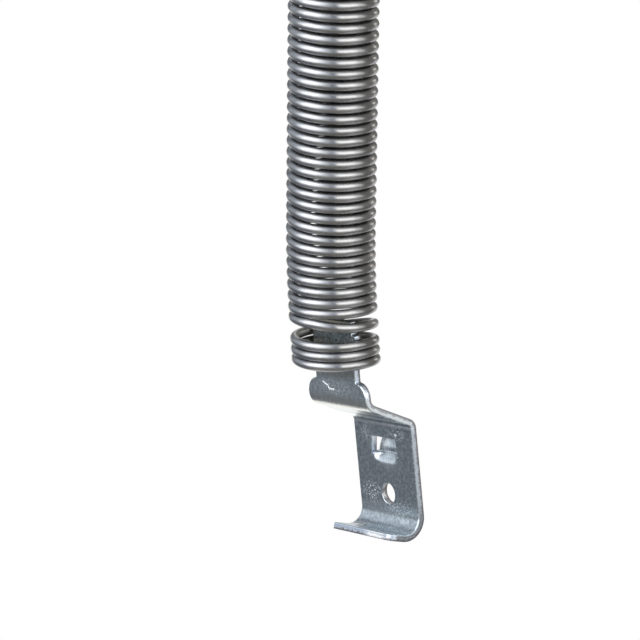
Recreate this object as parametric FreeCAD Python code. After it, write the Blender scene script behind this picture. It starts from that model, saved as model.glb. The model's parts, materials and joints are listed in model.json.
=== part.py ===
import FreeCAD, Part

import math
import os

from FreeCAD import Placement, Rotation, Vector

# Extension spring of a garage door and the folded bracket at its lower end, in millimetres.
# +Z runs up along the coil, the bracket's front faces -Y, and the origin is the centre of the fixing hole.

# Coil: the gaps are the clear space between one turn and the next, and those of the main turns widen upwards
wire_diameter = 5.0
coil_outer_diameter = 46.2
main_turns = 50
main_foot_gap = 0.67
main_top_gap = 0.89
open_gap = 5.3
seat_gap = 2.85
end_gap = 0.1
end_half_turns = 5

# Loop at the upper end of the wire
loop_outer_diameter = 46.2
loop_rise = 4.0
loop_sweep = 290.0

# Slack at the lower end: the end turns lean, their foot towards +X, and the bracket leans further in its seat
lean_angle = 7.2
lean_run = 46.0
bracket_lean = 1.6

# Bracket sheet and strip
sheet = 3.5
strip_width = 50.0

# Bracket head inside the end turns
neck_clearance = 0.85
tooth_clearance = 0.2
tooth_reach = 2.1
head_margin = 1.8
head_corner = 0.6
neck_length = 5.95

# Bracket folds, from the head down to the hooked flange
ear_side = 0.75
upper_fold_angle = 64.0
upper_fold_radius = 4.0
web_length = 24.2
plate_slope = 1.0
lower_fold_radius = 2.5
plate_length = 46.3
hook_fold_radius = 8.2
flange_rise = 14.5
flange_length = 8.9

# Fixing hole and lanced hook tab in the back plate
hole_diameter = 11.0
hole_drop = 37.2
window_drop = 7.2
window_height = 13.8
tab_root_width = 22.0
tab_tip_width = 19.0
tab_kerf = 0.4
tab_fold_angle = 48.0
tab_fold_radius = 2.25
tab_ramp = 5.6
tab_rise = 2.4

wire_radius = wire_diameter / 2
coil_radius = (coil_outer_diameter - wire_diameter) / 2
loop_radius = (loop_outer_diameter - wire_diameter) / 2
end_pitch = wire_diameter + end_gap
open_half = (wire_diameter + open_gap) / 2
closing_half = wire_diameter + seat_gap - open_half

# Wire height at the two sides of the head, in the bracket's own frame
seat_lift = coil_radius * math.sin(math.radians(bracket_lean))
left_seat = seat_lift
right_seat = -seat_lift - closing_half * math.cos(math.radians(bracket_lean))
coil_foot = right_seat - end_half_turns * end_pitch / 2 - wire_radius

# Levels of the head in the same frame
tooth_height = seat_gap - 2 * tooth_clearance
head_top = left_seat + wire_radius + tooth_clearance + tooth_height + head_margin
ear_top = coil_foot - neck_length
ear_radius = strip_width / 2 - (coil_radius - wire_radius - neck_clearance)
ear_foot = ear_top - ear_radius

# Foot of the window below the plate's top, and how far the tab's free end stands off the plate's middle
window_foot = window_drop + window_height
tab_turn = math.radians(tab_fold_angle)
tab_stand = (2 * tab_fold_radius + sheet) * (1 - math.cos(tab_turn)) + tab_ramp * math.sin(tab_turn)


def axis_point(fall):
    """Point of the coil's axis and its lean, for a fall along the axis from the open turn's start."""
    bow = lean_run / math.radians(lean_angle)
    turned = min(max(fall + lean_run, 0.0), lean_run) / bow
    straight = min(fall + lean_run, 0.0) if fall < -lean_run else max(fall, 0.0)
    x = bow * (1 - math.cos(turned)) + straight * math.sin(turned)
    z = -bow * math.sin(turned) - straight * math.cos(turned)
    return Vector(x, 0, z), turned


def side_joint(fall, side):
    """Middle of the wire where a turn crosses the bracket's plane, on the -X (-1) or +X (+1) side."""
    centre, lean = axis_point(fall)
    return centre + Vector(math.cos(lean), 0, math.sin(lean)) * (side * coil_radius)


def half_turn(start, end, side_y):
    """Half circle from one joint to the next, bulging towards -Y or +Y, tangent to its neighbours."""
    middle = (start + end) * 0.5
    bulge = Vector(0, side_y * (end - start).Length / 2, 0)
    return Part.Arc(start, middle + bulge, end).toShape()


def main_drops():
    """Fall of each half turn of the main coil, from its top."""
    count = 2 * main_turns
    gaps = [main_top_gap + (main_foot_gap - main_top_gap) * (k + 0.5) / count for k in range(count)]
    return [(wire_diameter + gap) / 2 for gap in gaps]


def coil_edges():
    """Half turns from the coil's top to the wire's lower end: left-handed, falling to +X in front."""
    drops = main_drops()
    fall = -sum(drops)
    drops += [open_half, open_half, closing_half]
    drops += [end_pitch / 2] * end_half_turns
    side = -1
    edges = []
    for drop in drops:
        start = side_joint(fall, side)
        end = side_joint(fall + drop, -side)
        edges.append(half_turn(start, end, side))
        fall += drop
        side = -side
    return edges


def loop_edges(coil_top):
    """Loop over the coil's axis, and the half circle that carries the wire from it out to the coil."""
    foot = Vector(coil_top.x + coil_radius, 0, coil_top.z + loop_rise)
    centre = foot + Vector(0, 0, loop_radius)

    def around(angle):
        turn = math.radians(angle)
        return centre - Vector(0, math.sin(turn), math.cos(turn)) * loop_radius

    loop = Part.Arc(around(loop_sweep), around(loop_sweep / 2), foot).toShape()
    crossing = half_turn(foot, coil_top, 1)
    return [loop, crossing]


def coil_spring():
    coil = coil_edges()
    coil_top = side_joint(-sum(main_drops()), -1)
    path = Part.Wire(loop_edges(coil_top) + coil)
    wire_end = path.Edges[0]
    begin = wire_end.FirstParameter
    section = Part.makeCircle(wire_radius, wire_end.valueAt(begin), wire_end.tangentAt(begin))
    return path.makePipe(Part.Face(Part.Wire(section)))


def heading(angle):
    """Directions along the sheet and out of its back; angle 0 is straight down, 90 towards +Y."""
    turn = math.radians(angle)
    return Vector(0, math.sin(turn), -math.cos(turn)), Vector(0, math.cos(turn), math.sin(turn))


def folded_sheet(start, angle, steps, width):
    """Sheet of one width, and its middle line's point and angle after each step.

    A step along the middle line is a straight run (length,) or a fold (turn in degrees, inner radius).
    """
    half = sheet / 2
    faces = {1: [], -1: []}
    point = start
    stops = []
    first_angle = angle
    for step in steps:
        along, back = heading(angle)
        if len(step) == 1:
            after = point + along * step[0]
            for face, edges in faces.items():
                aside = back * (face * half)
                edges.append(Part.LineSegment(point + aside, after + aside).toShape())
        else:
            turn, inner_radius = step
            inward = 1 if turn > 0 else -1
            radius = inner_radius + half
            centre = point + back * (inward * radius)
            backs = [heading(angle + turn * share)[1] for share in (0.0, 0.5, 1.0)]
            for face, edges in faces.items():
                reach = inward * radius - face * half
                edges.append(Part.Arc(*[centre - b * reach for b in backs]).toShape())
            angle += turn
            after = centre - backs[2] * (inward * radius)
        point = after
        stops.append((point, angle))
    first_back = heading(first_angle)[1] * half
    last_back = heading(angle)[1] * half
    top = Part.LineSegment(start - first_back, start + first_back).toShape()
    foot = Part.LineSegment(point - last_back, point + last_back).toShape()
    outline = Part.Wire(Part.__sortEdges__(faces[1] + faces[-1] + [top, foot]))
    outline.translate(Vector(-width / 2, 0, 0))
    return Part.Face(outline).extrude(Vector(width, 0, 0)), stops


def head_prism():
    """Head of the bracket as cut from the strip: ears, neck and two teeth staggered to follow the winding."""
    coil_inner_radius = coil_radius - wire_radius
    neck = coil_inner_radius - neck_clearance
    tooth = coil_inner_radius + tooth_reach
    ear = strip_width / 2
    left_foot = left_seat + wire_radius + tooth_clearance
    right_foot = right_seat + wire_radius + tooth_clearance
    left_top = left_foot + tooth_height
    right_top = right_foot + tooth_height
    left_side = [(-neck, ear_top), (-neck, left_foot), (-tooth, left_foot), (-tooth, left_top)]
    left_side += [(-neck, left_top), (-neck, head_top)]
    right_side = [(neck, head_top), (neck, right_top), (tooth, right_top)]
    right_side += [(tooth, right_foot), (neck, right_foot), (neck, ear_top)]
    corners = [Vector(x, -sheet, z) for x, z in left_side + right_side]
    edges = [Part.LineSegment(a, b).toShape() for a, b in zip(corners[:-1], corners[1:])]
    for side, inner in ((-1, corners[0]), (1, corners[-1])):
        centre = Vector(side * neck, -sheet, ear_foot)
        middle = centre + Vector(side, 0, 1) * (ear_radius / math.sqrt(2))
        edges.append(Part.Arc(inner, middle, Vector(side * ear, -sheet, ear_foot)).toShape())
    foot_left, foot_right = (Vector(side * ear, -sheet, ear_foot) for side in (-1, 1))
    edges.append(Part.LineSegment(foot_left, foot_right).toShape())
    outline = Part.Wire(Part.__sortEdges__(edges))
    prism = Part.Face(outline).extrude(Vector(0, 2 * sheet, 0))
    boxes = [(edge, edge.BoundBox) for edge in prism.Edges]
    corner_edges = [edge for edge, box in boxes if box.YLength > sheet and box.ZMin > ear_foot + head_corner]
    return prism.makeFillet(head_corner, corner_edges)


def head_waste():
    """What the press cuts away from the strip around the head."""
    reach = strip_width / 2 + sheet
    top = head_top + sheet
    blank = Part.makeBox(2 * reach, 2 * sheet, top - ear_foot, Vector(-reach, -sheet, ear_foot))
    return blank.cut(head_prism())


def tapered_block(side_gap, depth):
    """Block that narrows upwards over the window's height, wider than the tab by a gap on each side.

    It lies in the back plate's own frame and reaches a depth to both sides of the sheet's middle.
    """
    half_foot = tab_root_width / 2 + side_gap
    half_top = tab_tip_width / 2 + side_gap
    foot_corners = [(-half_foot, -window_foot), (half_foot, -window_foot)]
    top_corners = [(half_top, -window_drop), (-half_top, -window_drop)]
    corners = foot_corners + top_corners + foot_corners[:1]
    outline = Part.makePolygon([Vector(x, -depth, z) for x, z in corners])
    return Part.Face(outline).extrude(Vector(0, 2 * depth, 0))


def end_bracket():
    """Folded bracket in the frame of the end turns, and the centre of its fixing hole."""
    steps = [
        (head_top - ear_foot + ear_side,),
        (upper_fold_angle, upper_fold_radius),
        (web_length,),
        (plate_slope - upper_fold_angle, lower_fold_radius),
        (plate_length,),
        (-plate_slope - 90.0 - flange_rise, hook_fold_radius),
        (flange_length,),
    ]
    strip, stops = folded_sheet(Vector(0, 0, head_top), 0.0, steps, strip_width)
    plate_top, plate_angle = stops[3]
    along, back = heading(plate_angle)
    on_plate = Placement(plate_top, Rotation(Vector(1, 0, 0), plate_angle))

    hole_centre = plate_top + along * hole_drop
    hole = Part.makeCylinder(hole_diameter / 2, 2 * sheet, hole_centre - back * sheet, back)

    window = tapered_block(tab_kerf, sheet)
    window.Placement = on_plate

    out_fold = (-tab_fold_angle, tab_fold_radius)
    back_fold = (tab_fold_angle, tab_fold_radius)
    tab_steps = [out_fold, (tab_ramp,), back_fold, (tab_rise,)]
    tab_root = plate_top + along * window_foot
    tab_strip, _ = folded_sheet(tab_root, plate_angle + 180.0, tab_steps, tab_root_width)
    tab_blank = tapered_block(0.0, tab_stand + sheet)
    tab_blank.Placement = on_plate
    tab = tab_strip.common(tab_blank)

    bracket = strip.cut(head_waste()).cut(hole).cut(window).fuse(tab).removeSplitter()
    return bracket, hole_centre


def main():
    spring = coil_spring()
    bracket, hole_centre = end_bracket()

    # The bracket leans with the end turns and its own slack, and the fixing hole becomes the origin
    seat, turned = axis_point(2 * open_half)
    in_end_turns = Placement(seat, Rotation(Vector(0, 1, 0), -math.degrees(turned) - bracket_lean))
    bracket.Placement = in_end_turns
    origin = in_end_turns.multVec(hole_centre)
    os.makedirs("parts", exist_ok=True)
    for name, shape in (("coil_spring", spring), ("end_bracket", bracket)):
        shape.translate(-origin)
        solid = shape.Solids[0]
        solid.exportStep(f"parts/{name}.step")


main()
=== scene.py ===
import json
import math

import bmesh
import bpy
from mathutils import Matrix, Vector
from mathutils.geometry import tessellate_polygon


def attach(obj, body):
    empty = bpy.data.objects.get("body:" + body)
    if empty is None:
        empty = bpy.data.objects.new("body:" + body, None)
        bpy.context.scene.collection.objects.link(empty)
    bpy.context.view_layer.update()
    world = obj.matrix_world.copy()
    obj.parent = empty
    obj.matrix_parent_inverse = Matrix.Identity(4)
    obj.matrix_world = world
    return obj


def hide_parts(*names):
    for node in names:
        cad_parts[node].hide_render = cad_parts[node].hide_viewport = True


# Extension spring of a garage door and the folded bracket in its lower end, in metres in the part's frame.
# The wire is swept along the coil's arcs, and the bracket is folded from a flat blank with rounded edges.

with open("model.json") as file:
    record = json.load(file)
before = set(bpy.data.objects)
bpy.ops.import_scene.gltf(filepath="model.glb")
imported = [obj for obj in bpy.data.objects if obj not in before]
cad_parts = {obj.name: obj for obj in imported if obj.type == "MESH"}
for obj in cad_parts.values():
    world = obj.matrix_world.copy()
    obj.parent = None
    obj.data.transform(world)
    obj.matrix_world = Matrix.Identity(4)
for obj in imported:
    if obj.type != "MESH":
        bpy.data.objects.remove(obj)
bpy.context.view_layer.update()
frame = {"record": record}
scene = bpy.context.scene

# Wire and coil, as in the model
wire_radius = 0.0025
coil_radius = 0.0206
main_turns = 50
main_foot_gap = 0.00067
main_top_gap = 0.00089
open_gap = 0.0053
seat_gap = 0.00285
end_gap = 0.0001
end_half_turns = 5
loop_radius = 0.0206
loop_rise = 0.004
loop_sweep = math.radians(290)
lean_angle = math.radians(7.2)
lean_run = 0.046
bracket_lean = math.radians(1.6)

# Visible coil: back halves close the gaps, the free turn falls late, and the end turns sit lower
back_swell = 0.495
late_start = 0.0006
close_slope = 0.49
close_share = 0.45
fall_power = 2.8
seat_drop = 0.00065
seat_tilt = 0.00085
end_tilt = 0.00065
end_closing = 0.00004

# Mesh of the wire
points_around = 20
points_per_half_turn = 24
points_on_loop = 44
wire_end_bevel = 0.0005

# Bracket, as in the model, with the place of its plate among the strip's runs and folds, counted from 0
plate_step = 4
sheet = 0.0035
strip_width = 0.05
neck_clearance = 0.00085
tooth_clearance = 0.0002
tooth_reach = 0.0021
head_margin = 0.0018
neck_length = 0.00595
ear_side = 0.00075
upper_fold_angle = math.radians(64)
upper_fold_radius = 0.004
web_length = 0.0242
plate_slope = math.radians(1)
lower_fold_radius = 0.0025
plate_length = 0.0463
hook_fold_radius = 0.0082
flange_rise = math.radians(14.5)
flange_length = 0.0089
hole_radius = 0.0055
hole_drop = 0.0372
window_drop = 0.0072
tab_root_width = 0.022
tab_tip_width = 0.019
tab_kerf = 0.0004

# Rounded edges of the sheet, on the punch's side and on the die's side, and small corners of its outline
front_edge_radius = 0.0008
hole_edge_radius = 0.0005
slit_edge_radius = 0.00025
back_edge_radius = 0.00025
head_corner = 0.0009
flange_corner_left = 0.001
flange_corner_right = 0.0045
window_corner = 0.0004
slit_corner = 0.00015
tab_corner = 0.0009

# Visible tab: an oval bulge drawn out of the plate below the slits, a crease, and the tab above it
slit_height = 0.0097
tab_draw = 0.0053
tab_draw_edge = 0.65
tab_squareness_left = 2.2
tab_squareness_right = 5.0
tab_draw_radius = 0.0015
tab_draw_angle = math.radians(47)
tab_ramp = 0.0036
tab_crease_angle = math.radians(5)
tab_crease_radius = 0.0012
tab_crease_run = 0.0008
tab_rest_radius = 0.003
tab_rest_angle = math.radians(20)
tab_rise = 0.0047
tab_merge = 0.0026

# Mesh of the bracket
tab_cell = 0.0008
edge_steps = 3
corner_steps = 4
ear_steps = 10
hole_steps = 48
fold_step = math.radians(5)

# Tolerances: shift that finds a normal, and what counts as the same point, plane and level
normal_shift = 1e-6
same_point = 1e-5
same_plane = 1e-7
same_level = 1e-9

# Number of the main coil's half turns, and falls of the turns and half turns
main_halves = 2 * main_turns
wire_diameter = 2 * wire_radius
end_pitch = wire_diameter + end_gap
open_half = (wire_diameter + open_gap) / 2
closing_half = wire_diameter + seat_gap - open_half

# Levels of the bracket's head in its own frame, from the middle of its seat
seat_lift = coil_radius * math.sin(bracket_lean)
left_seat = seat_lift
right_seat = -seat_lift - closing_half * math.cos(bracket_lean)
coil_foot = right_seat - end_half_turns * end_pitch / 2 - wire_radius
tooth_height = seat_gap - 2 * tooth_clearance
head_top = left_seat + wire_radius + tooth_clearance + tooth_height + head_margin
left_foot = left_seat - seat_drop + wire_radius + tooth_clearance
right_foot = right_seat - seat_drop - seat_tilt + wire_radius + tooth_clearance
neck = coil_radius - wire_radius - neck_clearance
tooth = coil_radius - wire_radius + tooth_reach
ear_top = coil_foot - neck_length
ear_radius = strip_width / 2 - neck
ear_foot = ear_top - ear_radius

# Places on the flat blank: across it and up from the head's top, as minus the distance along the strip
lower_fold_place = (0.0, -0.0735)
band_reach = 0.2
streak_reach = (band_reach, 0.0085)

# Scratches: start, end, width and strength
scratches = [
    ((-0.0112, -0.0338), (-0.0072, -0.0356), 0.0009, 1.0),
    ((-0.0072, -0.0356), (-0.0064, -0.0371), 0.0008, 1.0),
    ((-0.0064, -0.0371), (-0.0022, -0.0372), 0.001, 1.0),
    ((-0.0155, -0.0805), (-0.0150, -0.0850), 0.0005, 0.35),
    ((0.0104, -0.0806), (0.0112, -0.0808), 0.0012, 0.9),
    ((0.0016, -0.0975), (0.0019, -0.1010), 0.0004, 0.3),
    ((0.0133, -0.0970), (0.0137, -0.1002), 0.0004, 0.25),
]

# Patches of specks: centre, reach and strength
speck_patches = [
    ((-0.014, -0.1135), (0.011, 0.008), 0.7),
    ((0.012, -0.080), (0.009, 0.006), 0.5),
    ((-0.015, -0.082), (0.007, 0.007), 0.4),
    ((0.0, -0.036), (0.02, 0.006), 0.25),
    ((0.010, -0.120), (0.018, 0.006), 0.35),
]

# Painted light and shade on the faces, and painted reflection bands, pale and dark, along the lower fold:
# centre, reach, strength and colour
painted_shade_band = (0.13, 0.14, 0.14, 1)
painted_light_patches = [
    ((0.0, -0.0365), (0.04, 0.009), 0.55, (0.68, 0.72, 0.73, 1)),
    ((0.0, -0.0437), (0.06, 0.005), 0.6, (0.58, 0.57, 0.52, 1)),
    ((0.0, -0.0265), (0.04, 0.006), 0.75, (0.38, 0.375, 0.335, 1)),
    ((0.0, -0.001), (0.03, 0.006), 0.9, (0.62, 0.56, 0.44, 1)),
    ((0.0, -0.012), (0.03, 0.008), 0.85, (0.76, 0.86, 0.92, 1)),
    ((0.002, -0.0955), (0.012, 0.005), 0.5, (0.82, 0.87, 0.9, 1)),
    ((-0.0065, -0.0865), (0.007, 0.006), 0.6, (0.95, 0.98, 1.0, 1)),
    ((0.0, -0.1215), (0.05, 0.005), 0.6, (0.74, 0.8, 0.84, 1)),
    # Painted shade bands on the web, then painted reflection bands along the lower fold
    ((0.018, -0.0500), (0.022, 0.004), 0.75, painted_shade_band),
    ((0.008, -0.0600), (0.034, 0.0045), 0.55, painted_shade_band),
    ((0.0, -0.0665), (band_reach, 0.004), 0.75, (0.88, 0.92, 0.94, 1)),
    ((0.0, -0.0724), (band_reach, 0.0022), 0.5, painted_shade_band),
    ((0.0, -0.0755), (band_reach, 0.0016), 0.9, (0.9, 0.94, 0.96, 1)),
    ((0.0, -0.0771), (band_reach, 0.001), 0.2, painted_shade_band),
]

# Patches of the cut edges: centre, reach, strength on the smooth and on the torn band, and colour
cut_patches = [
    ((0.0, -0.113), (0.012, 0.012), 0.6, 0.6, (0.3, 0.27, 0.23, 1)),
    ((0.012, -0.1493), (0.012, 0.006), 0.95, 0.9, (0.95, 0.96, 0.98, 1)),
    ((-0.002, -0.085), (0.016, 0.008), 0.9, 0.9, (0.9, 0.93, 0.96, 1)),
    ((0.025, -0.057), (0.012, 0.024), 1.0, 0.25, (0.88, 0.94, 1.0, 1)),
    ((0.025, -0.1335), (0.014, 0.021), 0.65, 0.75, (0.16, 0.175, 0.2, 1)),
]

# Patterns, in features to the metre: along the wire and around it, or across the strip and along it
wire_line_scale = (14, 7000, 1)
wire_cloud_scale = (60, 220, 1)
mottle_scale = 560.0
cloud_scale = 120.0
brush_scale = (5000, 90, 1)
rolled_scale = (20, 1100, 1)
speck_scale = 1000.0
tear_scale = 500.0
rib_scale = (1800, 1800, 1)

# Colours of the wire and of the plate, each from its dark to its pale patches, and of what lies on them
wire_dark = (0.3, 0.305, 0.315, 1)
wire_pale = (0.39, 0.395, 0.41, 1)
wire_line = (0.22, 0.215, 0.2, 1)
# Painted shade on the coil's inner side, darker and browner
wire_inside_shade = (0.3, 0.275, 0.235, 1)
zinc_dark = (0.36, 0.41, 0.445, 1)
zinc_pale = (0.6, 0.655, 0.7, 1)
zinc_cloud = (0.44, 0.475, 0.5, 1)
zinc_brush = (0.66, 0.71, 0.74, 1)
streak_colour = (0.11, 0.12, 0.12, 1)
bare_metal = (0.96, 0.97, 0.97, 1)
smooth_cut_dark = (0.5, 0.57, 0.66, 1)
smooth_cut_pale = (0.64, 0.72, 0.83, 1)
torn_cut_dark = (0.18, 0.18, 0.2, 1)
torn_cut_pale = (0.36, 0.36, 0.4, 1)
burr_colour = (0.08, 0.08, 0.085, 1)

# How much each layer covers what lies below it, from 0 to 1
wire_line_cover = 0.35
wire_inside_shade_cover = 0.75
zinc_cloud_cover = 0.35
zinc_brush_cover = 0.25
streak_cover = 0.3
burr_cover = 0.75

# Roughness from the smooth to the dull patches, and what is added inside the coil and on the marks
wire_roughness = (0.26, 0.34)
wire_inside_dulling = 0.1
zinc_roughness = (0.24, 0.36)
mark_dulling = 0.35
cut_roughness = (0.38, 0.55)

# Shine of the drawn wire, stretched around it
wire_anisotropy = 0.7
wire_anisotropy_turn = 0.25

# Bumps: strength and height
wire_line_bump = (0.05, 0.0001)
brush_bump = (0.12, 0.0001)
mottle_bump = (0.12, 0.0002)
streak_bump = (0.5, 0.0003)
mark_bump = (0.8, 0.0002)
torn_bump = (0.5, 0.0003)

# Shares of a scratch's width and of a patch's reach between which they fade out
stroke_fade = (0.3, 0.7)
patch_fade = (0.3, 1.0)

# Camera of the photograph: a pixel of its 640-pixel frame shows the middle of the seat turn
photo_pixels = 640.0
sensor_width = 36.0
focal_pixels = 3200.0
camera_azimuth = math.radians(53.6)
camera_elevation = math.radians(16.2)
camera_roll = math.radians(0.651)
camera_depth = 1.649
camera_reach = 50.0
seat_pixel = (334.45, 333.0)

# Studio: floor, background, and panels by turns from the camera and rises in degrees, distance and colour
floor_level = -0.8
floor_reach = 6.0
studio_middle = Vector((-0.01, -0.02, 0.15))
panel_step = 8
wall_distance = 2.0
glint_distance = 1.95
low_distance = 0.85
white = (1.0, 1.0, 1.0, 1.0)
floor_grey = (0.8, 0.8, 0.8, 1)
ambient_grey = (0.6, 0.6, 0.6, 1)
panels = {
    "softbox_left": ((-84, -36), (1, 62), wall_distance, (3.7, 3.76, 3.85)),
    "inner_left": ((-36, -22), (6, 62), wall_distance, (2.7, 2.76, 2.85)),
    "shade_left": ((-22, -6), (6, 62), wall_distance, (1.4, 1.48, 1.6)),
    "fade_left": ((-99, -84), (6, 60), wall_distance, (2.3, 2.38, 2.48)),
    "end_left": ((-138, -99), (-3, 60), wall_distance, (0.76, 0.82, 0.89)),
    "low_left": ((-147, -84), (-12, -3), wall_distance, (0.5, 0.545, 0.59)),
    "softbox_right": ((13, 66), (5, 48), wall_distance, (3.3, 3.26, 3.16)),
    "fade_right": ((66, 86), (3, 50), wall_distance, (1.6, 1.58, 1.54)),
    "gap_front": ((-6, 13), (-8, 62), wall_distance, (0.45, 0.5, 0.6)),
    "wall_left": ((-158, -138), (-10, 62), wall_distance, (0.3, 0.33, 0.37)),
    "wall_right": ((86, 156), (-10, 60), wall_distance, (0.3, 0.29, 0.27)),
    "rim_left": ((-174, -158), (-10, 20), wall_distance, (0.26, 0.27, 0.28)),
    "rim_right": ((156, 174), (-10, 30), wall_distance, (0.26, 0.25, 0.23)),
    "glint_right": ((128, 140), (2, 18), glint_distance, (2.4, 2.3, 2.1)),
    "floor_front": ((-60, 60), (-80, -8), low_distance, (0.34, 0.325, 0.285)),
    "floor_left": ((-147, -60), (-60, -12), low_distance, (0.225, 0.24, 0.265)),
    "floor_back": ((-180, -147), (-60, -10), low_distance, (1.5, 1.48, 1.42)),
    "floor_right": ((60, 130), (-45, -8), low_distance, (0.3, 0.29, 0.27)),
    "ceiling": ((-180, 180), (62, 90), wall_distance, (0.9, 0.9, 0.9)),
}


# Coil

def axis_point(fall):
    """Point of the coil's axis and its lean, for a fall along the axis from the open turn's start."""
    bow = lean_run / lean_angle
    turned = min(max(fall + lean_run, 0.0), lean_run) / bow
    straight = min(fall + lean_run, 0.0) if fall < -lean_run else max(fall, 0.0)
    x = bow * (1 - math.cos(turned)) + straight * math.sin(turned)
    z = -bow * math.sin(turned) - straight * math.cos(turned)
    return Vector((x, 0, z)), turned


def side_joint(fall, side):
    """Middle of the wire where a turn crosses the bracket's plane, on the -X (-1) or +X (+1) side."""
    centre, lean = axis_point(fall)
    return centre + Vector((math.cos(lean), 0, math.sin(lean))) * (side * coil_radius)


def late_fall(share):
    """Share of the free turn's fall: beside the turn above for most of the way, then steeper."""
    opened = max(share - close_share, 0.0) / (1 - close_share)
    return close_slope * share + (1 - close_slope) * opened ** fall_power


def half_turn(start, end, side_y, swell=0.0, late=Vector()):
    """Half circle from one joint to the next, without its last point: place, outward direction, radius."""
    middle = (start + end) / 2
    spoke = (start - end) / 2
    bulge = Vector((0, side_y * spoke.length, 0))
    points = []
    for k in range(points_per_half_turn):
        angle = math.pi * k / points_per_half_turn
        outward = (spoke * math.cos(angle) + bulge * math.sin(angle)) / spoke.length
        more = swell * min(1.0, 2 * math.sin(angle))
        share = (1 - math.cos(angle)) / 2
        lift = late * (share - late_fall(share))
        points.append((middle + outward * (spoke.length - more) + lift, outward, wire_radius + more))
    return points


def main_drops():
    """Fall of each half turn of the main coil, from its top."""
    drops = []
    for k in range(main_halves):
        gap = main_top_gap + (main_foot_gap - main_top_gap) * (k + 0.5) / main_halves
        drops.append((wire_diameter + gap) / 2)
    return drops


def wire_path():
    """Points along the middle of the wire, from the loop's end to the last turn, and the loop's centre."""
    drops = main_drops()
    fall = -sum(drops)
    side = -1
    coil_top = side_joint(fall, side)
    loop_foot = Vector((coil_top.x + coil_radius, 0, coil_top.z + loop_rise))
    loop_centre = loop_foot + Vector((0, 0, loop_radius))
    path = []
    for k in range(points_on_loop):
        angle = loop_sweep * (1 - k / points_on_loop)
        outward = Vector((0, -math.sin(angle), -math.cos(angle)))
        path.append((loop_centre + outward * loop_radius, outward, wire_radius))
    path += half_turn(loop_foot, coil_top, 1)
    drops[-1] -= late_start
    drops += [open_half + late_start, open_half + seat_drop, closing_half + seat_tilt]
    drops += [end_pitch / 2 - end_closing + (end_tilt if k % 2 else -end_tilt) for k in range(end_half_turns)]
    for k, drop in enumerate(drops):
        start = side_joint(fall, side)
        end = side_joint(fall + drop, -side)
        swell = back_swell * (2 * drop - wire_diameter) if side > 0 and k < main_halves - 1 else 0.0
        late = axis_point(fall)[0] - axis_point(fall + drop)[0] if k == main_halves else Vector()
        path += half_turn(start, end, side, swell, late)
        fall += drop
        side = -side
    path.append((end, (end - start).normalized(), wire_radius))
    return path, loop_centre


def sweep_frames(path):
    """Tangent and two cross directions at each point, carried along the path without twist."""
    last = len(path) - 1
    tangents = [(path[min(k + 1, last)][0] - path[max(k - 1, 0)][0]).normalized() for k in range(last + 1)]
    across = tangents[0].orthogonal().normalized()
    frames = []
    before = tangents[0]
    for tangent in tangents:
        across = before.rotation_difference(tangent) @ across
        across = (across - tangent * across.dot(tangent)).normalized()
        frames.append((tangent, across, tangent.cross(across)))
        before = tangent
    return frames


def wire_mesh(path):
    """Round wire along the path, with bevelled ends and a UV map in metres: along the wire and around it."""
    frames = sweep_frames(path)
    rings = [(point, outward, radius, axes) for (point, outward, radius), axes in zip(path, frames)]
    for at, inward in ((0, 1), (len(path) - 1, -1)):
        point, outward, radius, axes = rings[at]
        rings[at] = (point, outward, radius - wire_end_bevel, axes)
        shoulder = (point + axes[0] * (inward * wire_end_bevel), outward, radius, axes)
        rings.insert(1 if at == 0 else len(rings) - 1, shoulder)
    built = bmesh.new()
    uv = built.loops.layers.uv.new("wire")
    inner = built.verts.layers.float.new("inner")
    angles = [2 * math.pi * k / points_around for k in range(points_around)]
    verts = []
    for point, outward, radius, (_, across, up) in rings:
        ring = []
        for a in angles:
            spoke = across * math.cos(a) + up * math.sin(a)
            vert = built.verts.new(point + spoke * radius)
            vert[inner] = -spoke.dot(outward)
            ring.append(vert)
        verts.append(ring)
    along = 0.0
    step_around = 2 * math.pi * wire_radius / points_around
    for k in range(len(rings) - 1):
        step = (rings[k + 1][0] - rings[k][0]).length
        for n in range(points_around):
            m = (n + 1) % points_around
            face = built.faces.new((verts[k][n], verts[k][m], verts[k + 1][m], verts[k + 1][n]))
            face.smooth = True
            corners = ((along, n), (along, n + 1), (along + step, n + 1), (along + step, n))
            for loop, (u, v) in zip(face.loops, corners):
                loop[uv].uv = (u, v * step_around)
        along += step
    built.faces.new(reversed(verts[0]))
    built.faces.new(verts[-1])
    mesh = bpy.data.meshes.new("spring_wire")
    built.to_mesh(mesh)
    built.free()
    return mesh


def make_spring(origin_shift, path):
    placed = [(point + origin_shift, outward, radius) for point, outward, radius in path]
    spring = bpy.data.objects.new("spring", wire_mesh(placed))
    scene.collection.objects.link(spring)
    spring.data.materials.append(spring_wire_material())
    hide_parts("coil_spring")
    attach(spring, "root")


# Bracket

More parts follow.
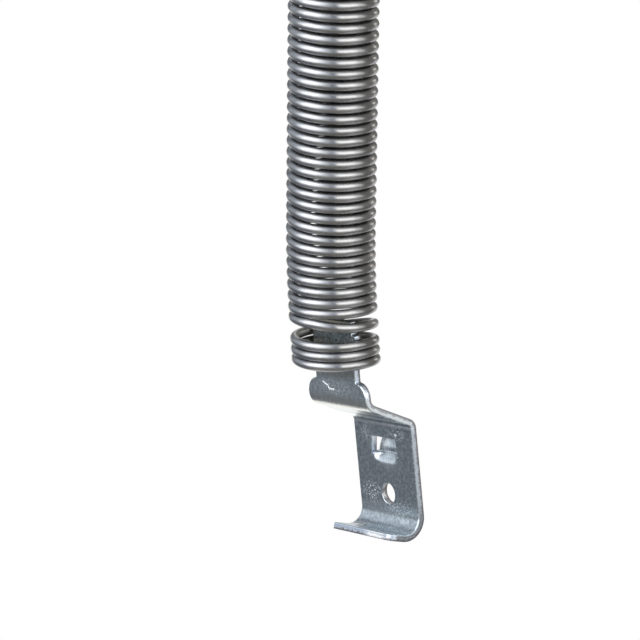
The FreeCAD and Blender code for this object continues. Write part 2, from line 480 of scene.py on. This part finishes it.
class FoldedLine:
    """Middle line of a folded sheet: straight runs (length,) and folds (turn, inner radius), from a start."""

    def __init__(self, start, angle, steps):
        self.pieces = []
        self.length = 0.0
        for step in steps:
            turn, radius = (0.0, 0.0) if len(step) == 1 else (step[0], step[1] + sheet / 2)
            length = step[0] if len(step) == 1 else abs(turn) * radius
            self.pieces.append((self.length, length, start, angle, turn, radius))
            self.length += length
            start, angle = self.at(self.length)

    @staticmethod
    def heading(angle):
        """Directions along the sheet and out of its back: angle 0 is down, a right angle is towards +Y."""
        along = Vector((0, math.sin(angle), -math.cos(angle)))
        return along, Vector((0, math.cos(angle), math.sin(angle)))

    def at(self, distance):
        """Point and angle of the middle line at a distance from its start."""
        passed = [piece for piece in self.pieces if piece[0] <= max(distance, 0.0) + same_level]
        begin, length, start, angle, turn, radius = passed[-1]
        run = distance - begin
        along, back = self.heading(angle)
        if not turn:
            return start + along * run, angle
        reach = math.copysign(radius, turn)
        angle_there = angle + turn * run / length
        return start + (back - self.heading(angle_there)[1]) * reach, angle_there

    def fold_levels(self):
        """Distances at which a fold starts, ends and is divided."""
        levels = []
        for begin, length, _, _, turn, _ in self.pieces:
            if turn:
                count = max(2, round(abs(turn) / fold_step))
                levels += [begin + length * k / count for k in range(count + 1)]
        return levels


def bracket_line():
    """Middle line of the strip, from the head's top by the web and the plate to the flange's end."""
    steps = [
        (head_top - ear_foot + ear_side,),
        (upper_fold_angle, upper_fold_radius),
        (web_length,),
        (plate_slope - upper_fold_angle, lower_fold_radius),
        (plate_length,),
        (-plate_slope - math.pi / 2 - flange_rise, hook_fold_radius),
        (flange_length,),
    ]
    return FoldedLine(Vector((0, 0, head_top)), 0.0, steps)


def arc(centre, radius, start, turn, steps, convex):
    """Points of a blank's outline on an arc, each with its direction out of the sheet."""
    angles = [start + turn * k / steps for k in range(steps + 1)]
    spokes = [Vector((math.cos(a), math.sin(a))) for a in angles]
    return [(Vector(centre) + spoke * radius, spoke if convex else -spoke) for spoke in spokes]


def corner(before, at, after, radius):
    """Rounded corner of an outline that has the sheet on its left."""
    before, at, after = (Vector(point) for point in (before, at, after))
    heading_in = (at - before).normalized()
    heading_out = (after - at).normalized()
    turn = -heading_in.angle_signed(heading_out)
    side = math.copysign(1.0, turn)
    cut = radius * math.tan(abs(turn) / 2)
    centre = at - heading_in * cut + Vector((-heading_in.y, heading_in.x)) * (radius * side)
    start = math.atan2(-heading_in.x * side, heading_in.y * side)
    return arc(centre, radius, start, turn, corner_steps, side > 0)


def rounded_outline(points):
    """Closed outline from corners (across, up, radius), with the sheet on its left."""
    outline = []
    for k, (across, up, radius) in enumerate(points):
        before = points[k - 1][:2]
        after = points[(k + 1) % len(points)][:2]
        outline += corner(before, (across, up), after, radius)
    return outline


def head_outline(side):
    """Ear, fillet, neck and tooth of one side of the head, from the ear's foot up, drawn on the right."""
    tooth_foot = (right_foot if side > 0 else left_foot) - head_top
    tooth_top = tooth_foot + tooth_height
    level = ear_foot - head_top
    fillet_turn = math.asin(head_corner / (ear_radius + head_corner))
    fillet_rise = (ear_radius + head_corner) * math.cos(fillet_turn)
    ear_turn = math.pi / 2 - fillet_turn
    outline = arc((neck, level), ear_radius, 0.0, ear_turn, ear_steps, convex=True)
    fillet_centre = (neck + head_corner, level + fillet_rise)
    outline += arc(fillet_centre, head_corner, math.pi + ear_turn, -ear_turn, corner_steps, convex=False)
    stops = [(neck, level + fillet_rise), (neck, tooth_foot), (tooth, tooth_foot)]
    stops += [(tooth, tooth_top), (neck, tooth_top), (neck, 0.0), (0.0, 0.0)]
    for k in range(1, len(stops) - 1):
        outline += corner(stops[k - 1], stops[k], stops[k + 1], head_corner)
    return outline


def mirrored(outline):
    """The same stretch of outline on the left side, run the other way."""
    flip = Vector((-1, 1))
    return [(point * flip, normal * flip) for point, normal in reversed(outline)]


def smooth(share):
    """Smooth step from 0 to 1."""
    share = min(max(share, 0.0), 1.0)
    return share * share * (3 - 2 * share)


class Blank:
    """Flat blank of the bracket: across the strip, and up from the head's top, so the strip runs down."""

    def __init__(self):
        self.line = bracket_line()
        plate_top = self.line.pieces[plate_step][0]
        self.hole_level = -(plate_top + hole_drop)
        self.window_top = -(plate_top + window_drop)
        self.tab_root = self.window_top - slit_height
        self.tab_tip = self.window_top - tab_kerf
        self.tab_limit = self.window_top - tab_kerf / 2
        self.tab_start = self.tab_root - tab_draw
        start, angle = self.line.at(-self.tab_start)
        steps = [(-tab_draw_angle, tab_draw_radius), (tab_ramp,)]
        steps += [(tab_draw_angle - tab_crease_angle, tab_crease_radius), (tab_crease_run,)]
        steps += [(tab_crease_angle - tab_rest_angle, tab_rest_radius), (tab_rise,)]
        self.tab_line = FoldedLine(start, angle + math.pi, steps)
        self.tab_stretch = self.tab_line.length / (self.tab_tip - self.tab_start)

    def outlines(self):
        """Outer outline, fixing hole and the slit around the tab, each with the sheet on its left."""
        half = strip_width / 2
        end = -self.line.length
        outer = corner((-half, 0), (-half, end), (half, end), flange_corner_left)
        outer += corner((-half, end), (half, end), (half, 0), flange_corner_right)
        outer += head_outline(1) + mirrored(head_outline(-1))
        hole = arc((0, self.hole_level), hole_radius, 0.0, -2 * math.pi, hole_steps, convex=False)[:-1]
        root = tab_root_width / 2
        tip = tab_tip_width / 2
        slit = rounded_outline([
            (-root - tab_kerf, self.tab_root, slit_corner),
            (-tip - tab_kerf, self.window_top, window_corner),
            (tip + tab_kerf, self.window_top, window_corner),
            (root + tab_kerf, self.tab_root, slit_corner),
            (root, self.tab_root, slit_corner),
            (tip, self.tab_tip, tab_corner),
            (-tip, self.tab_tip, tab_corner),
            (-root, self.tab_root, slit_corner),
        ])
        return [(outer, front_edge_radius), (hole, hole_edge_radius), (slit, slit_edge_radius)]

    def on_tab(self, across, up):
        """Whether a point of the flat sheet lies on the tab, above its root."""
        if not self.tab_root < up < self.tab_limit:
            return False
        share = (up - self.tab_root) / (self.window_top - self.tab_root)
        half = (tab_root_width + (tab_tip_width - tab_root_width) * share + tab_kerf) / 2
        return abs(across) < half

    def cut_levels(self):
        """Heights at which the flat sheet is cut so that its folds are round."""
        levels = [-distance for distance in self.line.fold_levels()]
        levels += [self.tab_start + distance / self.tab_stretch for distance in self.tab_line.fold_levels()]
        count = math.ceil((tab_draw + tab_merge) / tab_cell)
        for k in range(count + 1):
            level = self.tab_start + tab_cell * k
            if min(abs(level - other) for other in levels) > tab_cell / 4:
                levels.append(level)
        return levels

    def cut_columns(self):
        """Places across the flat sheet at which it is cut so that the tab's root is round."""
        count = math.ceil(tab_root_width / 2 / tab_cell)
        return [tab_cell * k for k in range(-count, count + 1)]

    def tab_share(self, across, up):
        """How far a point follows the tab: not on the plate around its oval root, fully above the root."""
        if up < self.tab_start or (up > self.tab_root and not self.on_tab(across, up)):
            return 0.0
        below = max(self.tab_root - up, 0.0) / tab_draw
        squareness = tab_squareness_right if across > 0 else tab_squareness_left
        reach = (abs(2 * across / tab_root_width) ** squareness + below ** squareness) ** (1 / squareness)
        drawn = smooth((1 - reach) / tab_draw_edge)
        return drawn + (1 - drawn) * smooth((up - self.tab_root) / tab_merge)

    def folded(self, point, on_tab):
        """Place, in the bracket's own frame, of a point of the flat sheet: across, up and depth."""
        right = Vector((1, 0, 0))
        middle, angle = self.line.at(-point.y)
        place = middle + FoldedLine.heading(angle)[1] * point.z
        share = self.tab_share(point.x, point.y) if on_tab else 0.0
        if share:
            middle, angle = self.tab_line.at((point.y - self.tab_start) * self.tab_stretch)
            place = place.lerp(middle - FoldedLine.heading(angle)[1] * point.z, share)
        return place + right * point.x

    def placed(self, point, normal):
        """Place and direction of a point of the flat sheet with its flat direction."""
        on_tab = point.y < self.tab_root or self.on_tab(point.x, point.y)
        place = self.folded(point, on_tab)
        moves = []
        for axis in range(3):
            shift = Vector((0, 0, 0))
            shift[axis] = normal_shift
            moves.append(self.folded(point + shift, on_tab) - self.folded(point - shift, on_tab))
        across, up, back = moves
        turned = up.cross(back) * normal.x + back.cross(across) * normal.y + across.cross(up) * normal.z
        return place, -turned.normalized()


def edge_profile(front_radius):
    """Steps around the sheet's edge: inset, depth, share of the outward direction and of the depth's."""
    quarter = [math.pi / 2 * k / edge_steps for k in range(edge_steps + 1)]
    front = [(front_radius, -1, a) for a in quarter]
    back = [(back_edge_radius, 1, a) for a in reversed(quarter)]
    profile = []
    for radius, face, a in front + back:
        depth = face * (sheet / 2 - radius * (1 - math.cos(a)))
        profile.append((radius * (1 - math.sin(a)), depth, math.sin(a), face * math.cos(a)))
    return profile


def flat_blank(blank):
    """Flat sheet with rounded edges: a mesh with each point's normal, share of the cut edge and depth."""
    built = bmesh.new()
    normals = built.verts.layers.float_vector.new("flat_normal")
    edge = built.verts.layers.float.new("edge")
    through = built.verts.layers.float.new("depth")
    # The first ring of each outline bounds the front face, and the last ring the back face
    faces = {0: [], -1: []}
    for outline, front_radius in blank.outlines():
        rings = []
        for inset, depth, outward_share, depth_share in edge_profile(front_radius):
            ring = []
            for point, outward in outline:
                place = point - outward * inset
                vert = built.verts.new((place.x, place.y, depth))
                vert[normals] = (outward.x * outward_share, outward.y * outward_share, depth_share)
                vert[edge] = outward_share
                vert[through] = 2 * depth / sheet
                ring.append(vert)
            rings.append(ring)
        for first, second in zip(rings[:-1], rings[1:]):
            for k in range(len(first)):
                built.faces.new((first[k - 1], first[k], second[k], second[k - 1]))
        for at in faces:
            faces[at].append(rings[at])
    for at, rings in faces.items():
        flat = [vert for ring in rings for vert in ring]
        for triangle in tessellate_polygon([[vert.co for vert in ring] for ring in rings]):
            built.faces.new([flat[k] for k in triangle])
    cuts = [((0, level, 0), (0, 1, 0)) for level in blank.cut_levels()]
    cuts += [((column, 0, 0), (1, 0, 0)) for column in blank.cut_columns()]
    for point, normal in cuts:
        everything = built.verts[:] + built.edges[:] + built.faces[:]
        bmesh.ops.bisect_plane(built, geom=everything, plane_co=point, plane_no=normal, dist=same_plane)
    bmesh.ops.remove_doubles(built, verts=built.verts, dist=same_point)
    return built, normals


def bracket_mesh(place):
    """Bracket folded from its blank and put in its place, with a UV map of the flat blank in metres."""
    blank = Blank()
    built, flat_normal = flat_blank(blank)
    uv = built.loops.layers.uv.new("sheet")
    normals = []
    turn = place.to_3x3()
    for face in built.faces:
        face.smooth = True
        for loop in face.loops:
            loop[uv].uv = loop.vert.co.xy
    for vert in built.verts:
        point, normal = blank.placed(vert.co, vert[flat_normal])
        vert.co = place @ point
        normals.append((turn @ normal).normalized())
    bmesh.ops.recalc_face_normals(built, faces=built.faces)
    mesh = bpy.data.meshes.new("bracket")
    built.to_mesh(mesh)
    built.free()
    mesh.normals_split_custom_set_from_vertices(normals)
    return mesh


def make_bracket(origin_shift):
    seat, turned = axis_point(2 * open_half)
    place = Matrix.Translation(seat + origin_shift) @ Matrix.Rotation(-turned - bracket_lean, 4, "Y")
    bracket = bpy.data.objects.new("bracket", bracket_mesh(place))
    scene.collection.objects.link(bracket)
    bracket.data.materials.append(plated_sheet_material())
    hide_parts("end_bracket")
    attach(bracket, "root")


# Materials

class Nodes:
    """Short form for building a node tree."""

    def __init__(self, tree):
        self.tree = tree
        self.tree.nodes.clear()

    def add(self, kind, inputs=None, **settings):
        """New node with its settings, and with its inputs linked or set."""
        node = self.tree.nodes.new(kind)
        for name, value in settings.items():
            setattr(node, name, value)
        for name, value in (inputs or {}).items():
            socket = node.inputs[name]
            if isinstance(value, bpy.types.NodeSocket):
                self.tree.links.new(value, socket)
            else:
                socket.default_value = value
        return node

    def math(self, operation, a, b=0.0, clamp=False):
        node = self.add("ShaderNodeMath", {0: a, 1: b}, operation=operation, use_clamp=clamp)
        return node.outputs[0]

    def ramp(self, value, low, high, out_low=0.0, out_high=1.0):
        inputs = {"Value": value, "From Min": low, "From Max": high, "To Min": out_low, "To Max": out_high}
        return self.add("ShaderNodeMapRange", inputs, interpolation_type="SMOOTHSTEP").outputs[0]

    def noise(self, vector, scale, detail=3.0, roughness=0.55):
        inputs = {"Vector": vector, "Scale": scale, "Detail": detail, "Roughness": roughness}
        return self.add("ShaderNodeTexNoise", inputs).outputs["Fac"]

    def stretch(self, vector, scale):
        return self.add("ShaderNodeMapping", {"Vector": vector, "Scale": scale}).outputs[0]

    def attribute(self, name):
        return self.add("ShaderNodeAttribute", attribute_name=name).outputs["Fac"]

    def bump(self, height, strength, distance, normal=None):
        inputs = {"Height": height, "Strength": strength, "Distance": distance}
        if normal is not None:
            inputs["Normal"] = normal
        return self.add("ShaderNodeBump", inputs).outputs[0]

    def vector(self, operation, inputs, output=0):
        return self.add("ShaderNodeVectorMath", inputs, operation=operation).outputs[output]

    def stroke(self, flat, start, end, width):
        """1 on a scratch from start to end, in metres on the flat blank, falling to 0 at its edge."""
        start, end = Vector((*start, 0)), Vector((*end, 0))
        run = end - start
        offset = self.vector("SUBTRACT", {0: flat, 1: start})
        along = self.vector("DOT_PRODUCT", {0: offset, 1: run / run.length_squared}, "Value")
        share = self.math("MULTIPLY", along, 1.0, clamp=True)
        reach = self.vector("SCALE", {0: run, "Scale": share})
        distance = self.vector("DISTANCE", {0: offset, 1: reach}, "Value")
        return self.ramp(distance, width * stroke_fade[0], width * stroke_fade[1], 1.0, 0.0)

    def patch(self, flat, centre, reach):
        """1 in the middle of an oval on the flat blank, falling to 0 at its edge."""
        place = {"Vector": flat, "Location": (-centre[0] / reach[0], -centre[1] / reach[1], 0)}
        place["Scale"] = (1 / reach[0], 1 / reach[1], 0)
        inside = self.add("ShaderNodeMapping", place).outputs[0]
        distance = self.vector("LENGTH", {0: inside}, "Value")
        return self.ramp(distance, *patch_fade, 1.0, 0.0)

    def surface(self, inputs):
        shader = self.add("ShaderNodeBsdfPrincipled", inputs).outputs[0]
        self.add("ShaderNodeOutputMaterial", {"Surface": shader})

    def mix(self, factor, a, b):
        """Colour a where the factor is 0, and b where it is 1."""
        return self.add("ShaderNodeMix", {0: factor, 6: a, 7: b}, data_type="RGBA").outputs[2]


def new_material(name):
    """Material with an empty node tree, and the short form for building it."""
    material = bpy.data.materials.new(name)
    material.use_nodes = True
    return material, Nodes(material.node_tree)


def spring_wire_material():
    """Dark drawn wire: fine lines along it, a cloudy oil coat, and on the coil's inner side duller, with
    painted shade, darker and browner.
    """
    material, n = new_material("spring_wire")
    uv = n.add("ShaderNodeUVMap", uv_map="wire").outputs[0]
    lines = n.noise(n.stretch(uv, wire_line_scale), 1.0, 2.0)
    cloud = n.noise(n.stretch(uv, wire_cloud_scale), 1.0, 4.0)
    inner = n.ramp(n.attribute("inner"), -0.05, 0.45)
    colour = n.mix(n.ramp(cloud, 0.35, 0.7), wire_dark, wire_pale)
    colour = n.mix(n.ramp(lines, 0.4, 0.75, 0.0, wire_line_cover), colour, wire_line)
    # Painted shade: darker and browner where the wire faces the coil's inside
    colour = n.mix(n.ramp(inner, 0.0, 1.0, 0.0, wire_inside_shade_cover), colour, wire_inside_shade)
    dulling = n.ramp(inner, 0.0, 1.0, 0.0, wire_inside_dulling)
    roughness = n.math("ADD", n.ramp(cloud, 0.3, 0.75, *wire_roughness), dulling)
    bump = n.bump(lines, *wire_line_bump)
    tangent = n.add("ShaderNodeTangent", direction_type="UV_MAP", uv_map="wire").outputs[0]
    inputs = {"Base Color": colour, "Metallic": 1.0, "Roughness": roughness, "Normal": bump}
    inputs |= {"Tangent": tangent, "Anisotropic": wire_anisotropy}
    inputs["Anisotropic Rotation"] = wire_anisotropy_turn
    n.surface(inputs)
    return material


def face_marks(n, flat, front):
    """1 on the specks and scratches of the plate's front, 0 beside them."""
    speck = n.math("MULTIPLY", n.ramp(n.noise(flat, speck_scale, 2.0), 0.56, 0.63), front)
    marks = 0.0
    for centre, reach, strength in speck_patches:
        specks = n.math("MULTIPLY", speck, n.math("MULTIPLY", n.patch(flat, centre, reach), strength))
        marks = n.math("MAXIMUM", specks, marks)
    for start, end, width, strength in scratches:
        stroke = n.math("MULTIPLY", n.stroke(flat, start, end, width), strength)
        marks = n.math("MAXIMUM", stroke, marks)
    return n.math("MULTIPLY", marks, front)


def cut_colour(n, flat, depth, torn, ribs):
    """Colour of the cut edges: a smooth band, a torn band, and a dark line at the die's side."""
    ribbed = n.ramp(ribs, 0.3, 0.7)
    smooth_cut = n.mix(ribbed, smooth_cut_dark, smooth_cut_pale)
    torn_cut = n.mix(ribbed, torn_cut_dark, torn_cut_pale)
    for centre, reach, smooth_strength, torn_strength, tint in cut_patches:
        patch = n.patch(flat, centre, reach)
        smooth_cut = n.mix(n.math("MULTIPLY", patch, smooth_strength), smooth_cut, tint)
        torn_cut = n.mix(n.math("MULTIPLY", patch, torn_strength), torn_cut, tint)
    burr = n.ramp(depth, 0.5, 0.9, 0.0, burr_cover)
    return n.mix(burr, n.mix(torn, smooth_cut, torn_cut), burr_colour)


def plated_sheet_material():
    """Zinc plate: mottle, brush lines, painted light and shade, and marks on its faces, and its cut edges."""
    material, n = new_material("plated_sheet")
    flat = n.add("ShaderNodeUVMap", uv_map="sheet").outputs[0]
    position = n.add("ShaderNodeTexCoord").outputs["Object"]
    depth = n.attribute("depth")
    edge = n.ramp(n.attribute("edge"), 0.55, 0.95)
    front = n.ramp(depth, -0.5, 0.0, 1.0, 0.0)
    tear = n.ramp(n.noise(flat, tear_scale), 0.3, 0.7, -0.25, 0.25)
    torn = n.ramp(n.math("ADD", depth, tear), -0.05, 0.35)
    ribs = n.noise(n.stretch(flat, rib_scale), 1.0, 3.0)
    mottle = n.noise(position, mottle_scale, 4.0, 0.65)
    cloud = n.noise(position, cloud_scale, 3.0)
    brush = n.noise(n.stretch(flat, brush_scale), 1.0, 2.0)
    rolled = n.noise(n.stretch(flat, rolled_scale), 1.0, 2.0)
    streaks = n.math("MULTIPLY", rolled, n.patch(flat, lower_fold_place, streak_reach))
    marks = face_marks(n, flat, front)

    colour = n.mix(n.ramp(mottle, 0.36, 0.68), zinc_dark, zinc_pale)
    colour = n.mix(n.ramp(cloud, 0.35, 0.7, 0.0, zinc_cloud_cover), colour, zinc_cloud)
    colour = n.mix(n.ramp(brush, 0.5, 0.8, 0.0, zinc_brush_cover), colour, zinc_brush)
    # Painted light and shade: paler and darker patches and reflection bands on the faces
    for centre, reach, strength, tint in painted_light_patches:
        painted_light_mask = n.math("MULTIPLY", n.patch(flat, centre, reach), front)
        colour = n.mix(n.math("MULTIPLY", painted_light_mask, strength), colour, tint)
    colour = n.mix(n.ramp(streaks, 0.47, 0.54, 0.0, streak_cover), colour, streak_colour)
    colour = n.mix(marks, colour, bare_metal)
    colour = n.mix(edge, colour, cut_colour(n, flat, depth, torn, ribs))

    dulling = n.math("MULTIPLY", marks, mark_dulling)
    on_face = n.math("ADD", n.ramp(mottle, 0.3, 0.8, *zinc_roughness), dulling)
    on_cut = n.ramp(torn, 0.0, 1.0, *cut_roughness)
    roughness = n.add("ShaderNodeMix", {0: edge, 2: on_face, 3: on_cut}).outputs[0]
    bump = n.bump(brush, *brush_bump)
    bump = n.bump(mottle, *mottle_bump, bump)
    bump = n.bump(streaks, *streak_bump, bump)
    bump = n.bump(marks, *mark_bump, bump)
    torn_ribs = n.math("MULTIPLY", n.math("MULTIPLY", ribs, edge), torn)
    bump = n.bump(torn_ribs, *torn_bump, bump)
    n.surface({"Base Color": colour, "Metallic": 1.0, "Roughness": roughness, "Normal": bump})
    return material


# Studio

def background_rays(n):
    """1 for the rays that show the background: from the camera, in reflections and through glass."""
    path = n.add("ShaderNodeLightPath").outputs
    seen = n.math("MAXIMUM", path["Is Camera Ray"], path["Is Glossy Ray"])
    return n.math("MAXIMUM", seen, path["Is Transmission Ray"])


def make_world():
    world = bpy.data.worlds.new("studio")
    world.use_nodes = True
    scene.world = world
    n = Nodes(world.node_tree)
    colour = n.mix(background_rays(n), ambient_grey, white)
    background = n.add("ShaderNodeBackground", {"Color": colour, "Strength": 1.0}).outputs[0]
    n.add("ShaderNodeOutputWorld", {"Surface": background})


def stage_object(name, verts, faces, material, seen):
    """Floor or panel of the studio, which isn't part of the object, seen by the camera or not."""
    mesh = bpy.data.meshes.new(name)
    mesh.from_pydata(verts, [], faces)
    mesh.materials.append(material)
    staged = bpy.data.objects.new(name, mesh)
    scene.collection.objects.link(staged)
    staged.visible_camera = seen


def glow_material(name, colour):
    material, n = new_material(name)
    shader = n.add("ShaderNodeEmission", {"Color": colour, "Strength": 1.0}).outputs[0]
    n.add("ShaderNodeOutputMaterial", {"Surface": shader})
    return material


def floor_material():
    material, n = new_material("floor")
    pale = n.add("ShaderNodeBsdfDiffuse", {"Color": floor_grey}).outputs[0]
    bright = n.add("ShaderNodeEmission", {"Color": white, "Strength": 1.0}).outputs[0]
    shader = n.add("ShaderNodeMixShader", {0: background_rays(n), 1: pale, 2: bright}).outputs[0]
    n.add("ShaderNodeOutputMaterial", {"Surface": shader})
    return material


def direction(turn, rise):
    """Direction from the object: a turn to the camera's right and a rise above the horizon, in degrees."""
    azimuth = camera_azimuth + math.radians(turn)
    level = math.cos(math.radians(rise))
    return Vector((math.sin(azimuth) * level, -math.cos(azimuth) * level, math.sin(math.radians(rise))))


def make_panel(name, turns, rises, distance, colour):
    """Patch of a sphere around the object that lights it and shows in its reflections."""
    across = max(2, round(abs(turns[1] - turns[0]) / panel_step))
    up = max(2, round(abs(rises[1] - rises[0]) / panel_step))
    verts = []
    faces = []
    for k in range(across + 1):
        turn = turns[0] + (turns[1] - turns[0]) * k / across
        for m in range(up + 1):
            rise = rises[0] + (rises[1] - rises[0]) * m / up
            verts.append(studio_middle + direction(turn, rise) * distance)
            if k and m:
                at = k * (up + 1) + m
                faces.append((at - up - 2, at - 1, at, at - up - 1))
    stage_object(name, verts, faces, glow_material(name, colour), seen=False)


def make_studio():
    make_world()
    signs = ((-1, -1), (1, -1), (1, 1), (-1, 1))
    corners = [(x * floor_reach, y * floor_reach, floor_level) for x, y in signs]
    stage_object("floor", corners, [(0, 1, 2, 3)], floor_material(), seen=True)
    for name, (turns, rises, distance, colour) in panels.items():
        make_panel(name, turns, rises, distance, colour + (1.0,))


# Camera

def make_camera(seat):
    """Camera at the photograph's angle, which shows the middle of the seat turn at its pixel."""
    right = Vector((math.cos(camera_azimuth), math.sin(camera_azimuth), 0))
    view = -direction(0, math.degrees(camera_elevation))
    up = right.cross(view)
    rolled_right = right * math.cos(camera_roll) + up * math.sin(camera_roll)
    rolled_up = up * math.cos(camera_roll) - right * math.sin(camera_roll)
    aside = (seat_pixel[0] - photo_pixels / 2) / focal_pixels
    below = (seat_pixel[1] - photo_pixels / 2) / focal_pixels
    eye = seat - (rolled_right * aside - rolled_up * below + view) * camera_depth
    data = bpy.data.cameras.new("camera")
    data.sensor_width = sensor_width
    data.lens = sensor_width * focal_pixels / photo_pixels
    data.clip_end = camera_reach
    camera = bpy.data.objects.new("camera", data)
    scene.collection.objects.link(camera)
    axes = Matrix((rolled_right, rolled_up, -view)).transposed()
    camera.matrix_world = Matrix.Translation(eye) @ axes.to_4x4()
    scene.camera = camera


# Whole scene

def main():
    scene.view_settings.view_transform = "Standard"
    path, loop_centre = wire_path()
    mounts = {mount["name"]: mount for mount in frame["record"]["mounts"]}
    origin_shift = Vector(mounts["top_loop"]["pos_m"]) - loop_centre
    make_spring(origin_shift, path)
    make_bracket(origin_shift)
    make_studio()
    make_camera(axis_point(2 * open_half)[0] + origin_shift)


main()
